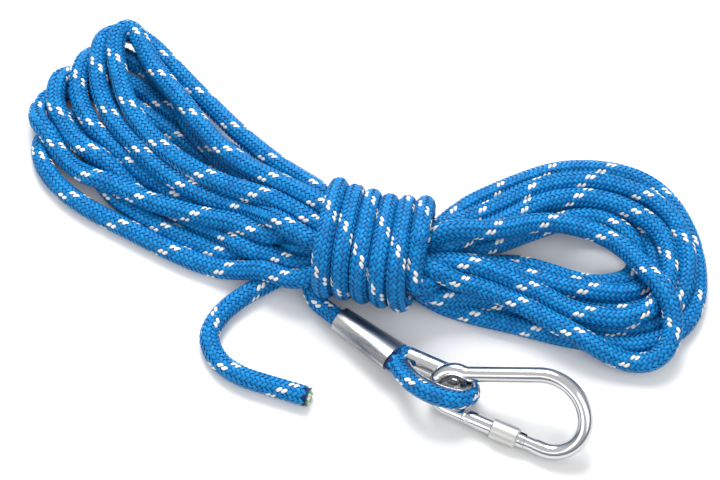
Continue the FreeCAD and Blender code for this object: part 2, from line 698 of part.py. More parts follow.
SUB_PARTS = (rope_hank_left, rope_hank_middle, rope_hank_right, rope_wrap,
             rope_tail_sheath, rope_tail_core, rope_lead_sheath, rope_lead_core,
             rope_eye_sheath, rope_eye_core, rope_in_ferrule, ferrule, thimble,
             carabiner_body, gate, gate_hinge_pin, gate_catch_pin, gate_spring,
             gate_plunger, locking_sleeve)

doc.recompute()
for obj in doc.Objects:
    if "Invalid" in obj.State or "Error" in obj.State:
        raise RuntimeError("failed: %s %s" % (obj.Name, obj.State))

for name, path, whole in (("tail", tail_path, "rope_tail_whole"),
                          ("lead", lead_path, "rope_lead_whole"),
                          ("eye", eye_path, "rope_eye_whole")):
    length = path.Shape.Length
    expected = length * pi * dim("rope_dia") ** 2 / 4
    volume = doc.getObject(whole).Shape.Volume
    print("%s: %.1f mm, volume share %.4f" % (name, length, volume / expected))

os.makedirs("parts", exist_ok=True)
for part in SUB_PARTS:
    shape = part.Shape
    if shape.isNull() or not shape.isValid():
        raise RuntimeError("bad shape: " + part.Label)
    shape.exportStep("parts/%s.step" % part.Label)
    box = shape.BoundBox
    print("%-18s %d solid(s) %9.1f mm3  x %.1f..%.1f y %.1f..%.1f z %.1f..%.1f" % (
        part.Label, len(shape.Solids), shape.Volume, box.XMin, box.XMax,
        box.YMin, box.YMax, box.ZMin, box.ZMax))
# The joints' places and directions, as the record states them.
eye_up = eye_turn.multVec(-Z_AXIS)
print("carabiner joint:", eye_place.multVec(Vector(dim("swing_along"), dim("swing_in"), 0)),
      "axis", eye_up)
print("gate joint:", gate_place.multVec(Vector(hinge_along, hinge_across, 0)),
      "axis", gate_place.Rotation.multVec(Z_AXIS))
print("plunger and sleeve slide along", gate_place.Rotation.multVec(X_AXIS))
print("ferrule from", ferrule_start, "to", ferrule_end)
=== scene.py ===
"""Looks of a dynamic climbing rope with a swaged eye and a screw-gate carabiner."""
import math

import bmesh
import bpy
import numpy as np
from bpy.props import FloatProperty, FloatVectorProperty, IntProperty, PointerProperty
from mathutils import Matrix, Vector


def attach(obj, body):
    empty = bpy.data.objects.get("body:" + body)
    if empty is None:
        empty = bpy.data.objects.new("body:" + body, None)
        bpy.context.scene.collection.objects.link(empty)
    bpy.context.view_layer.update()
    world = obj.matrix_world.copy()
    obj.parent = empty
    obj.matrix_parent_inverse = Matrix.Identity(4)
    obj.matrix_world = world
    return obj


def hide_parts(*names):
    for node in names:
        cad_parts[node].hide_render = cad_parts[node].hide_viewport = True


bl_info = {
    "name": "Climbing rope",
    "version": (1, 0, 0),
    "blender": (4, 5, 0),
    "location": "View3D > Sidebar > Rope",
    "description": "Builds the tied hank, its braid, the eye and the stage",
    "category": "Object",
}

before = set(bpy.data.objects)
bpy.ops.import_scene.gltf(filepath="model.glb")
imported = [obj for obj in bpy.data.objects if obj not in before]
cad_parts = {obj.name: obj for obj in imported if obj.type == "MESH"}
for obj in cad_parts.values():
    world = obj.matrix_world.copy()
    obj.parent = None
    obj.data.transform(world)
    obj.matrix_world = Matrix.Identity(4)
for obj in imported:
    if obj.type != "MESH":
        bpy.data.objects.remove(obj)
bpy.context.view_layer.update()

MM = 0.001
ROPE_BODY = "rope"
LOWEST = 5.0  # the rope's middle when it lies on the floor, in millimetres

# ---------------------------------------------------------------- the route, in millimetres
# The lead and the tail follow the CAD model's route points, let down by up to 10 mm. The
# tail has one more point, where it leaves the tie.
LEAD = [(-11.9, -36.9, 7.4), (-21.1, -32.9, 7.0), (-28.5, -29.2, 8.3), (-33.0, -20.5, 9.5),
        (-31.0, -9.0, 6.0)]
TAIL = [(-38, -10, 8), (-49, -18, 5), (-57, -26, 5), (-66, -36, 5), (-74, -48, 5), (-77, -63, 5),
        (-68, -75, 5), (-54, -81, 5), (-36, -82, 5), (-16, -83, 5)]
TUCK = [(21, -21, 31), (25, -16, 25), (30, -6, 20), (38, 3, 18)]

# How far each turn of the tie stands off its neighbours, over the top and under the front.
WRAP_SLACK = [(3.0, 2.2), (1.6, 0.8), (1.0, 0.5), (0.6, 0.3), (1.8, 0.3), (3.8, 1.0)]

# One loop each: out of the tie, round the end of the hank and back to the tie.
LEFT_LOOPS = {
    "first": [(-46, 14, 31), (-71, 24, 28), (-94, 35, 25), (-114, 49, 23), (-137, 69, 23),
              (-156, 85, 24), (-167, 98, 25), (-174, 105, 26), (-181, 100, 26), (-178, 86, 26),
              (-168, 68, 26), (-158, 53, 26), (-145, 40, 26), (-128, 28, 26), (-108, 18, 26),
              (-86, 13, 27), (-60, 8, 29)],
    "second": [(-60, 2, 21), (-90, 6, 19), (-119, 15, 19), (-135, 22, 20), (-151, 33, 20),
               (-165, 45, 20), (-177, 58, 20), (-186, 76, 20), (-190, 93, 20), (-184, 103, 19),
               (-172, 106, 17), (-160, 101, 16), (-147, 92, 15), (-128, 79, 14), (-109, 66, 15),
               (-87, 50, 18), (-64, 37, 23), (-42, 26, 27)],
    "third": [(-50, -3, 18), (-80, -1, 13), (-110, 4, 12), (-129, 12, 13), (-145, 21, 14),
              (-163, 31, 15), (-179, 42, 15), (-191, 56, 15), (-197, 73, 15), (-193, 87, 15),
              (-184, 95, 14), (-172, 91, 13), (-153, 84, 12), (-140, 72, 10), (-124, 55, 11),
              (-103, 43, 13), (-83, 32, 16), (-60, 21, 20)],
    "fourth": [(-50, -8, 14), (-80, -5, 10), (-110, 1, 9), (-140, 10, 9), (-168, 22, 10),
               (-186, 32, 10), (-197, 42, 10), (-204, 56, 10), (-202, 69, 10), (-191, 79, 10),
               (-175, 81, 9), (-157, 76, 8), (-139, 66, 8), (-117, 53, 9), (-95, 39, 11), (-70, 26, 14),
               (-48, 17, 17)],
    "fifth": [(-38, -4, 21), (-70, -2, 16), (-97, 1, 13), (-116, 3, 11), (-138, 7, 9), (-161, 12, 7),
              (-180, 18, 7), (-195, 27, 7), (-207, 39, 7), (-212, 53, 7), (-206, 66, 7), (-189, 72, 6),
              (-168, 68, 6), (-148, 60, 6), (-116, 48, 8), (-82, 33, 11), (-52, 19, 14)],
    "sixth": [(-46, -18, 12), (-71, -20, 8), (-95, -17, 5), (-119, -14, 5), (-145, -10, 5),
              (-168, -4, 5), (-186, 5, 5), (-198, 17, 5), (-203, 31, 5), (-201, 44, 5), (-192, 50, 5),
              (-183, 42, 5), (-175, 28, 5), (-160, 13, 5), (-141, 4, 5), (-118, -2, 5), (-95, -5, 5),
              (-72, -6, 6), (-53, -5, 10)],
}
RIGHT_LOOPS = {
    "inner": [(48, 8, 17), (65, 15, 15), (85, 16, 13), (103, 15, 10), (118, 16, 8), (131, 21, 7),
              (139, 31, 7), (137, 44, 9), (128, 54, 12), (112, 59, 14), (95, 56, 15), (76, 43, 15),
              (58, 28, 17), (44, 16, 20)],
    "front": [(46, 20, 29), (61, 31, 27), (75, 39, 25), (91, 43, 23), (107, 43, 21), (120, 40, 19),
              (133, 32, 17), (144, 22, 15), (153, 9, 14), (157, -4, 13), (154, -15, 11), (148, -20, 9),
              (139, -21, 8), (129, -20, 10), (117, -17, 13), (106, -15, 15), (97, -13, 16),
              (87, -10, 17), (78, -8, 18), (68, -6, 19), (58, -6, 20), (49, -5, 21), (38, -6, 22)],
    "upper": [(38, 28, 24), (54, 43, 22), (68, 61, 20), (85, 71, 20), (103, 77, 18), (122, 76, 16),
              (138, 70, 14), (151, 57, 13), (157, 41, 12), (157, 24, 11), (152, 8, 9), (140, -1, 7),
              (122, -4, 6), (100, -4, 6), (78, -4, 7), (56, -5, 13)],
    "middle": [(44, 20, 23), (58, 35, 20), (71, 51, 20), (87, 61, 20), (105, 65, 19), (124, 62, 18),
               (141, 54, 16), (150, 40, 14), (151, 24, 12), (145, 7, 9), (132, -4, 10), (114, -5, 14),
               (101, -4, 16), (89, 0, 18), (75, 3, 20), (63, 5, 22), (47, 5, 24)],
    "outer": [(35, 39, 20), (46, 54, 15), (61, 70, 11), (77, 83, 9), (94, 90, 7), (112, 92, 6),
              (129, 89, 6), (143, 79, 6), (152, 66, 6), (158, 50, 6), (161, 32, 6), (161, 18, 6),
              (156, 8, 6), (149, 1, 6), (139, -3, 6), (127, -7, 5), (116, -10, 5), (106, -12, 5),
              (93, -13, 5), (79, -12, 5), (70, -11, 6), (60, -11, 7), (50, -10, 8), (40, -10, 9)],
    "small": [(45, 24, 15), (62, 42, 12), (80, 54, 11), (98, 61, 11), (113, 62, 11), (128, 56, 11),
              (141, 44, 9), (147, 30, 7), (143, 18, 6), (128, 10, 7), (112, 7, 10), (92, 8, 14),
              (74, 9, 16), (56, 10, 18)],
    "bottom": [(42, 20, 12), (56, 36, 7), (72, 54, 5), (90, 69, 5), (110, 75, 5), (128, 72, 5),
               (142, 60, 5), (149, 43, 5), (149, 26, 5), (141, 12, 5), (126, 5, 5), (110, 3, 5),
               (90, 3, 5), (66, 0, 7), (46, -3, 11)],
}
# The loops in the order that the rope runs, each with the strand that leads to it through the
# tie: (y, z) at the tie's left mouth and at its right mouth.
RUN = [
    ("left", "first", (6, 31), (8, 22)), ("right", "front", (-3, 32), (7, 32)),
    ("left", "second", (-11, 26), (-6, 31)), ("right", "upper", (13, 28), (15, 27)),
    ("left", "third", (-5, 23), (-15, 22)), ("right", "middle", (9, 23), (6, 24)),
    ("left", "fourth", (-12, 16), (-3, 24)), ("right", "outer", (15, 20), (15, 18)),
    ("left", "fifth", (4, 14.5), (-12, 14)), ("right", "small", (5, 23), (6, 15)),
    ("left", "sixth", (-13, 20), (0, 18)), ("right", "bottom", (12, 14), (12, 13)),
    ("left", None, (-5, 14), (-4, 14)),
]
# The eye, in its own plane: along the ferrule and across it.
EYE = [(-7.6, 0), (2, 0), (12, 0), (21.5, 0), (30.5, 0), (35.4, 2.9), (38.3, 7.8), (38.3, 13.6),
       (35.4, 18.5), (29.9, 21.8), (22.8, 23.5), (15.5, 23.0), (8.6, 20.5), (2.8, 16.0), (-0.8, 10.9),
       (-4.2, 10.7), (-7.6, 10.5)]
EYE_ORIGIN = Vector((27.9, -48.2, 6.15))
EYE_ALONG = Vector((0.98196, -0.18910, 0.0))
EYE_ACROSS = Vector((-0.15677, -0.81408, 0.55919))


class RopeSizes(bpy.types.PropertyGroup):
    """Sizes of the rope and its braid."""

    diameter: FloatProperty(
        name="Rope diameter", description="Over the sheath", default=0.010, unit="LENGTH")
    # The core tube under the braid is near-black navy: painted shade for the shaded gaps between the floats,
    # not the core's own colour.
    core_radius: FloatProperty(
        name="Core radius", description="Dark bed under the braid", default=0.0045, unit="LENGTH")
    slack_swell: FloatProperty(
        name="Slack swell", description="How much fuller the rope is after its tie",
        default=1.08, min=1.0, max=1.15)
    eye_swell: FloatProperty(
        name="Eye swell", description="How much fuller the rope is round its eye",
        default=1.04, min=1.0, max=1.15)
    braid_pitch: FloatProperty(
        name="Braid pitch", description="Length of one turn of a carrier", default=0.033, unit="LENGTH")
    carriers: IntProperty(name="Carriers", description="Strands in the sheath", default=24, min=8)
    wrap_turns: IntProperty(name="Tie turns", description="Turns of rope round the hank", default=6)


class RopeColours(bpy.types.PropertyGroup):
    """Colours of the sheath."""

    yarn: FloatVectorProperty(
        name="Sheath yarn", description="Main colour", subtype="COLOR", size=3, default=(0.0, 0.265, 0.64))
    yarn_dark: FloatVectorProperty(
        name="Sheath shadow", description="Darker yarn", subtype="COLOR", size=3, default=(0.0, 0.10, 0.34))
    tracer: FloatVectorProperty(
        name="Tracer yarn", description="White marker strands", subtype="COLOR", size=3,
        default=(0.85, 0.88, 0.9))
    floor: FloatVectorProperty(
        name="Floor", description="Backdrop", subtype="COLOR", size=3, default=(0.78, 0.78, 0.78))


# ---------------------------------------------------------------- helpers
def link(obj):
    """Put a new object in the scene."""
    bpy.context.scene.collection.objects.link(obj)
    return obj


def node(tree, kind, x, y, **values):
    """Add a shader node and set its plain properties and sockets."""
    made = tree.nodes.new(kind)
    made.location = (x, y)
    for key, value in values.items():
        if key in made.inputs:
            made.inputs[key].default_value = value
        else:
            setattr(made, key, value)
    return made


def material(name, colour, roughness, metallic=0.0, **sockets):
    """A Principled material; returns it with its tree and shader."""
    made = bpy.data.materials.new(name)
    made.use_nodes = True
    tree = made.node_tree
    shader = tree.nodes["Principled BSDF"]
    shader.inputs["Base Color"].default_value = (*colour, 1.0)
    shader.inputs["Roughness"].default_value = roughness
    shader.inputs["Metallic"].default_value = metallic
    for key, value in sockets.items():
        shader.inputs[key.replace("_", " ")].default_value = value
    made.diffuse_color = (*colour, 1.0)
    return made, tree, shader


def connect(tree, wires):
    """Link each pair of sockets."""
    for start, end in wires:
        tree.links.new(start, end)


def two_stops(ramp, low, high):
    """Set a ramp's two stops, each a position and a colour."""
    for stop, (position, colour) in zip(ramp.color_ramp.elements, (low, high)):
        stop.position = position
        stop.color = (*colour, 1.0)


def roughen(tree, shader, scale, detail, strength, distance):
    """Give a shader a fine bump on object coordinates."""
    place = node(tree, "ShaderNodeTexCoord", -800, 0)
    noise = node(tree, "ShaderNodeTexNoise", -600, 0, Scale=scale, Detail=detail)
    bump = node(tree, "ShaderNodeBump", -300, 0, Strength=strength, Distance=distance)
    connect(tree, (
        (place.outputs["Object"], noise.inputs["Vector"]), (noise.outputs[0], bump.inputs["Height"]),
        (bump.outputs[0], shader.inputs["Normal"]),
    ))


def yarn_material(name, light, dark, sheen):
    """Yarn: filaments along each float, a little tone from float to float."""
    made, tree, shader = material(name, light, 0.5, Sheen_Weight=sheen, Sheen_Roughness=0.4)
    shader.inputs["Specular IOR Level"].default_value = 0.2
    place = node(tree, "ShaderNodeUVMap", -1200, 0, uv_map="Yarn")
    stretch = node(tree, "ShaderNodeMapping", -1000, 0)
    stretch.inputs["Scale"].default_value = (9.0, 0.8, 1.0)
    fibres = node(tree, "ShaderNodeTexNoise", -800, 0, Scale=1.0, Detail=3.0, Roughness=0.6)
    tone = node(tree, "ShaderNodeAttribute", -1000, 300, attribute_name="tone")
    total = node(tree, "ShaderNodeMath", -600, 200, operation="ADD")
    half = node(tree, "ShaderNodeMath", -450, 200, operation="MULTIPLY")
    half.inputs[1].default_value = 0.5
    ramp = node(tree, "ShaderNodeValToRGB", -280, 200)
    two_stops(ramp, (0.25, dark), (0.75, light))
    bump = node(tree, "ShaderNodeBump", -280, -150, Strength=0.35, Distance=0.00012)
    connect(tree, (
        (place.outputs[0], stretch.inputs[0]), (stretch.outputs[0], fibres.inputs["Vector"]),
        (fibres.outputs[0], total.inputs[0]), (tone.outputs["Fac"], total.inputs[1]),
        (total.outputs[0], half.inputs[0]), (half.outputs[0], ramp.inputs[0]),
        (ramp.outputs[0], shader.inputs["Base Color"]), (fibres.outputs[0], bump.inputs["Height"]),
        (bump.outputs[0], shader.inputs["Normal"]),
    ))
    return made


def metal_material(name, colour, rough, grain=(1.0, 1.0, 1.0), strength=0.1, scale=400.0, spread=0.08):
    """Metal with a fine directional grain on object coordinates."""
    made, tree, shader = material(name, colour, rough, 1.0)
    place = node(tree, "ShaderNodeTexCoord", -1200, 0)
    stretch = node(tree, "ShaderNodeMapping", -1000, 0)
    stretch.inputs["Scale"].default_value = grain
    noise = node(tree, "ShaderNodeTexNoise", -800, 0, Scale=scale, Detail=4.0, Roughness=0.6)
    band = node(tree, "ShaderNodeMapRange", -500, 100)
    band.inputs["To Min"].default_value = max(0.02, rough - spread)
    band.inputs["To Max"].default_value = rough + spread
    bump = node(tree, "ShaderNodeBump", -300, -200, Strength=strength, Distance=0.00005)
    connect(tree, (
        (place.outputs["Object"], stretch.inputs[0]), (stretch.outputs[0], noise.inputs["Vector"]),
        (noise.outputs[0], band.inputs[0]), (band.outputs[0], shader.inputs["Roughness"]),
        (noise.outputs[0], bump.inputs["Height"]), (bump.outputs[0], shader.inputs["Normal"]),
    ))
    return made


def brushed_material(name, dark, light, heading):
    """Drawn aluminium: long scratches and dull panels along one direction, seen from above."""
    made, tree, shader = material(name, light, 0.36, 1.0)
    place = node(tree, "ShaderNodeTexCoord", -1400, 0)
    turn = node(tree, "ShaderNodeMapping", -1200, 0)
    turn.inputs["Rotation"].default_value = (0.0, 0.0, math.radians(-heading))
    stretch = node(tree, "ShaderNodeMapping", -1000, 0)
    stretch.inputs["Scale"].default_value = (0.06, 1.0, 1.0)
    scratches = node(tree, "ShaderNodeTexNoise", -800, 100, Scale=2200.0, Detail=4.0, Roughness=0.7)
    panels = node(tree, "ShaderNodeTexNoise", -800, -200, Scale=150.0, Detail=2.0)
    blend = node(tree, "ShaderNodeMath", -600, 0, operation="MULTIPLY_ADD")
    blend.inputs[1].default_value = 0.45
    ramp = node(tree, "ShaderNodeValToRGB", -400, 100)
    two_stops(ramp, (0.56, dark), (0.82, light))
    bump = node(tree, "ShaderNodeBump", -300, -200, Strength=0.5, Distance=0.0001)
    connect(tree, (
        (place.outputs["Object"], turn.inputs[0]), (turn.outputs[0], stretch.inputs[0]),
        (stretch.outputs[0], scratches.inputs["Vector"]), (stretch.outputs[0], panels.inputs["Vector"]),
        (scratches.outputs[0], blend.inputs[0]), (panels.outputs[0], blend.inputs[2]),
        (blend.outputs[0], ramp.inputs[0]), (ramp.outputs[0], shader.inputs["Base Color"]),
        (scratches.outputs[0], bump.inputs["Height"]), (bump.outputs[0], shader.inputs["Normal"]),
    ))
    return made


def nurbs(name, points, bevel=0.0):
    """A curve object of one open NURBS spline through these control points, in metres."""
    data = bpy.data.curves.new(name, "CURVE")
    data.dimensions = "3D"
    spline = data.splines.new("NURBS")
    spline.points.add(len(points) - 1)
    for slot, place in zip(spline.points, points):
        slot.co = (*place, 1.0)
    spline.order_u = 3
    spline.use_endpoint_u = True
    data.resolution_u = spline.resolution_u = 4
    data.bevel_depth = bevel
    data.bevel_resolution = 4
    data.use_fill_caps = bevel > 0
    return link(bpy.data.objects.new(name, data))


def line_of(points):
    """The points of the NURBS line that has these control points."""
    probe = nurbs("probe", points)
    bpy.context.view_layer.update()
    mesh = bpy.data.meshes.new_from_object(probe.evaluated_get(bpy.context.evaluated_depsgraph_get()))
    places = np.array([v.co[:] for v in mesh.vertices])
    bpy.data.meshes.remove(mesh)
    bpy.data.objects.remove(probe)
    return places


def evenly(places, step):
    """The same line in steps of one length, and how far along each point is."""
    gone = np.concatenate([[0.0], np.cumsum(np.linalg.norm(np.diff(places, axis=0), axis=1))])
    count = max(2, int(round(gone[-1] / step)))
    along = np.linspace(0.0, gone[-1], count + 1)
    return np.stack([np.interp(along, gone, places[:, axis]) for axis in range(3)], 1), along


def length_of(places):
    """The length of a line of points."""
    return float(np.linalg.norm(np.diff(places, axis=0), axis=1).sum())


# ---------------------------------------------------------------- the rope's line
MOUTH = 22  # how far along the hank the tie's two mouths stand from its middle, in millimetres
INSIDE = 7  # and how far the strands' points between them stand from it
HELD = 24  # as far as this from the tie's middle, the tie holds a strand still
PRESSED = 34  # as far as this, it presses the strands together
# The turns along the hank, in millimetres: where each crosses the top and the foot of the front.
TOP_AT, TOP_STEP = -29.3, 9.35
FOOT_AT, FOOT_STEP, FIRST_FOOT = -23.0, 10.1, -32.5
TOP_SHARE = 0.33  # of a turn, from the bottom's middle to the top
DOWN_SHARE = 0.53  # of a turn, from the top down the front to the foot


def wrap_points(turns, flat=7.5, radius=19.0, level=24.0, share=0.50, per_turn=14):
    """The tie's turns: a stadium wound along the hank, leaning as it comes over the front."""
    girth = 2 * math.pi * radius + 4 * flat
    places = []
    for index in range(int((turns - 1 + share) * per_turn) + 1):
        turn = index / per_turn
        gone = (turn % 1.0) * girth
        if gone < flat:
            y, z = gone, level - radius
        elif gone < flat + math.pi * radius:
            angle = -math.pi / 2 + (gone - flat) / radius
            y, z = flat + radius * math.cos(angle), level + radius * math.sin(angle)
        elif gone < 3 * flat + math.pi * radius:
            y, z = 2 * flat + math.pi * radius - gone, level + radius
        elif gone < 3 * flat + 2 * math.pi * radius:
            angle = math.pi / 2 + (gone - 3 * flat - math.pi * radius) / radius
            y, z = -flat + radius * math.cos(angle), level + radius * math.sin(angle)
        else:
            y, z = gone - girth, level - radius
        crest = math.floor(turn - TOP_SHARE)
        loose = WRAP_SLACK[max(0, min(int(turn), turns - 1))]
        grow = loose[0] if (z - level) + (y / 2) > 0 else loose[1]
        away = math.hypot(y, z - level) or 1.0
        y, z = y + grow * y / away, max(LOWEST, z + grow * (z - level) / away)
        share_gone = turn - TOP_SHARE - crest
        top, following = TOP_AT + TOP_STEP * crest, TOP_AT + TOP_STEP * (crest + 1)
        foot = FOOT_AT + FOOT_STEP * crest if crest >= 0 else FIRST_FOOT
        if share_gone < DOWN_SHARE:
            x = top + (foot - top) * share_gone / DOWN_SHARE
        else:
            x = foot + (following - foot) * (share_gone - DOWN_SHARE) / (1 - DOWN_SHARE)
        places.append((x, y, z))
    return places


def planned_route():
    """The whole rope's chosen points, in millimetres, and how many are fixed at each end."""
    start = list(LEAD) + wrap_points(bpy.context.scene.rope_sizes.wrap_turns)
    middle = list(TUCK) + RIGHT_LOOPS["inner"]
    for side, name, left, right in RUN:
        strand = [(x, *(there + (here - there) * (MOUTH - x) / (2 * MOUTH)
                        for here, there in zip(left, right)))
                  for x in (MOUTH, INSIDE, -INSIDE, -MOUTH)]
        middle += strand if side == "left" else strand[::-1]
        if name:
            middle += (LEFT_LOOPS if side == "left" else RIGHT_LOOPS)[name]
    return start, middle, list(TAIL)


def settle(start, middle, end, step=6.0, rounds=260, spacing=10.2, gripped=8.8):
    """Let the loops lie on each other and on the floor, each near its planned place.

    A strand is drawn to its plan and sinks a little each round, and strands nearer than
    spacing, or than gripped inside the tie, push each other away.
    """
    early_pull, late_pull, height_pull, sink, smoothing = 0.03, 0.01, 0.02, 0.05, 0.35
    line, gone = evenly(line_of(np.array(start + middle + end) * MM) / MM, step)
    plan = line.copy()
    opening, closing = len(plan) // 4, len(plan) * 9 // 10
    first = np.linalg.norm(plan[:opening] - np.array(start[-1]), axis=1).argmin()
    last = closing + np.linalg.norm(plan[closing:] - np.array(end[1]), axis=1).argmin()
    free = np.clip((np.abs(plan[:, 0]) - HELD) / 30, 0.15, 1.0)
    free[(np.abs(plan[:, 0]) < HELD) & (np.abs(plan[:, 1]) < HELD)] = 0.0
    free[:first + 1] = 0.0
    free[last:] = 0.0
    one, two = np.triu_indices(len(plan), 4)
    moving = (free > 0)[:, None]
    for turn in range(rounds):
        if turn % 8 == 0:
            apart = line[one] - line[two]
            near = (apart * apart).sum(1) < (spacing + 6) ** 2
            near_one, near_two = one[near], two[near]
        pull = early_pull if turn < 0.6 * rounds else late_pull
        line[:, :2] += free[:, None] * pull * (plan - line)[:, :2]
        line[:, 2] += free * (height_pull * (plan - line)[:, 2] - sink)
        for _ in range(2):
            apart = line[near_one] - line[near_two]
            length = np.sqrt((apart * apart).sum(1)) + 1e-9
            in_tie = (np.abs(line[near_one, 0]) < PRESSED) & (np.abs(line[near_two, 0]) < PRESSED)
            deep = np.where(in_tie, gripped, spacing) - length
            hit = deep > 0
            if not hit.any():
                continue
            a, b = near_one[hit], near_two[hit]
            both = free[a] + free[b] + 1e-9
            push = apart[hit] / length[hit][:, None] * deep[hit][:, None]
            moved, count = np.zeros_like(line), np.zeros(len(line))
            np.add.at(moved, a, push * (free[a] / both)[:, None])
            np.add.at(moved, b, -push * (free[b] / both)[:, None])
            np.add.at(count, a, 1)
            np.add.at(count, b, 1)
            line += moved / np.maximum(1, count * 0.6)[:, None]
        shift = line - plan
        soft = shift.copy()
        soft[1:-1] = 0.25 * shift[:-2] + 0.5 * shift[1:-1] + 0.25 * shift[2:]
        line = plan + np.where(moving, shift + smoothing * (soft - shift), shift)
        line[:, 2] = np.maximum(line[:, 2], LOWEST)
    return line[first + 1:last]


# ---------------------------------------------------------------- the braid
SWELL_RUN = 0.03  # metres over which the rope fills out when nothing grips it
ALL_ALONG = -1.0  # a start of the swell far enough before the line that all of it is full
FLOAT_BED, FLOAT_RISE = 0.00075, 0.00078  # a float's edge under the surface, and its rise from there
FLOAT_WIDE, FLOAT_LONG = 0.47, 0.97  # half a float, in cells of the braid, across and along


def frames_along(places):
    """Directions along and across a line that turn as little as they can."""
    ahead = np.gradient(places, axis=0)
    ahead /= np.linalg.norm(ahead, axis=1)[:, None]
    side = np.zeros_like(ahead)
    start = np.cross(ahead[0], (0.0, 0.0, 1.0))
    side[0] = start / np.linalg.norm(start)
    for index in range(1, len(places)):
        turned = side[index - 1] - ahead[index] * side[index - 1].dot(ahead[index])
        side[index] = turned / np.linalg.norm(turned)
    return ahead, side, np.cross(ahead, side)


def float_template():
    """One float of yarn: a small domed lozenge, from -1 to 1 across and along."""
    shape = bmesh.new()
    bmesh.ops.create_grid(shape, x_segments=3, y_segments=4, size=1.0)
    shape.verts.ensure_lookup_table()
    spots = np.array([v.co[:2] for v in shape.verts])
    faces = [[v.index for v in face.verts] for face in shape.faces]
    shape.free()
    return spots, faces


def swell_at(far, full):
    """Share of the plain radius at each distance: 1 where the rope is gripped, then fuller."""
    gripped_to, most = full
    return 1.0 + (most - 1.0) * np.clip((far - gripped_to) / SWELL_RUN, 0.0, 1.0)


def braid(name, places, materials, pieces=1, turn=0.0, full=(0.0, 1.0)):
    """Cover a line with the floats of a two-over-two braid; returns its pieces."""
    sizes = bpy.context.scene.rope_sizes
    radius = sizes.diameter / 2
    hands = sizes.carriers // 2
    spots, faces = float_template()
    line, along = evenly(places, 0.001)
    _, side, up = frames_along(line)
    rows = int(along[-1] / sizes.braid_pitch * 2 * hands)
    made = []
    draw = np.random.default_rng(11)
    cells = []
    # a float starts in the cell (i, j) where right-hand carrier i crosses left-hand carrier j
    for row in range(rows):
        for column in range(2 * hands):
            if (row + column) % 2 or column % 4 not in (0, 2):
                continue
            cells.append((row, column))
    cells = np.array(cells)
    # column counts i + j (round the rope), row counts j - i (along it)
    for part in range(pieces):
        chosen = cells[len(cells) * part // pieces:len(cells) * (part + 1) // pieces]
        right = chosen[:, 1] % 4 == 0
        i = (chosen[:, 1] - chosen[:, 0]) // 2
        j = (chosen[:, 1] + chosen[:, 0]) // 2
        across, length = spots[:, 0][None, :], spots[:, 1][None, :]
        wide, long = FLOAT_WIDE * across, 1.0 + FLOAT_LONG * length
        taper = 1.0 - 0.30 * np.abs(length) ** 3
        p = np.where(right[:, None], i[:, None] + 0.5 + wide * taper, i[:, None] + long)
        q = np.where(right[:, None], j[:, None] + long, j[:, None] + 0.5 + wide * taper)
        round_at = 2 * math.pi * (p + q) / (2 * hands) + turn
        far = (q - p) / (2 * hands) * sizes.braid_pitch
        high = (1 - 0.30 * across ** 2) * (1 - 0.85 * np.abs(length) ** 3)
        out = swell_at(far, full) * (radius - FLOAT_BED + FLOAT_RISE * high)
        at = np.clip(far / along[-1] * (len(line) - 1), 0, len(line) - 1.001)
        low = at.astype(int)
        rest = (at - low)[..., None]

        def between(values):
            return values[low] * (1 - rest) + values[low + 1] * rest

        place = between(line) + out[..., None] * (
            np.cos(round_at)[..., None] * between(side) + np.sin(round_at)[..., None] * between(up))
        count, per = len(chosen), len(spots)
        mesh = bpy.data.meshes.new(name)
        every = (np.array(faces)[None] + (np.arange(count) * per)[:, None, None]).reshape(-1, 4)
        mesh.vertices.add(count * per)
        mesh.vertices.foreach_set("co", place.reshape(-1))
        mesh.loops.add(every.size)
        mesh.loops.foreach_set("vertex_index", every.reshape(-1))
        mesh.polygons.add(len(every))
        mesh.polygons.foreach_set("loop_start", np.arange(0, every.size, 4))
        mesh.polygons.foreach_set("use_smooth", np.ones(len(every), bool))
        # a pair of neighbouring left-hand carriers is the white tracer
        white = ~right & np.isin(j % hands, (0, 1))
        mesh.polygons.foreach_set("material_index", np.repeat(white.astype(int), len(faces)))
        mesh.update(calc_edges=True)
        yarn = mesh.uv_layers.new(name="Yarn")
        flat = np.stack([np.broadcast_to(across, p.shape) + chosen[:, :1] * 3.1,
                         np.broadcast_to(length, p.shape) + chosen[:, 1:] * 1.7], -1)
        yarn.data.foreach_set("uv", flat.reshape(-1, 2)[every.reshape(-1)].reshape(-1))
        bake = mesh.uv_layers.new(name="OFBake")
        grid = int(math.ceil(math.sqrt(count)))
        cell = np.arange(count)
        corner = np.stack([cell % grid, cell // grid], -1)[:, None, :]
        inner = (spots[None] * 0.42 + 0.5 + corner) / grid
        bake.data.foreach_set("uv", inner.reshape(-1, 2)[every.reshape(-1)].reshape(-1))
        tone = mesh.attributes.new("tone", "FLOAT", "POINT")
        tone.data.foreach_set("value", np.repeat(draw.uniform(0.25, 0.75, count), per))
        for each in materials:
            mesh.materials.append(each)
        made.append(link(bpy.data.objects.new(name if pieces == 1 else f"{name}_{part + 1}", mesh)))
    return made


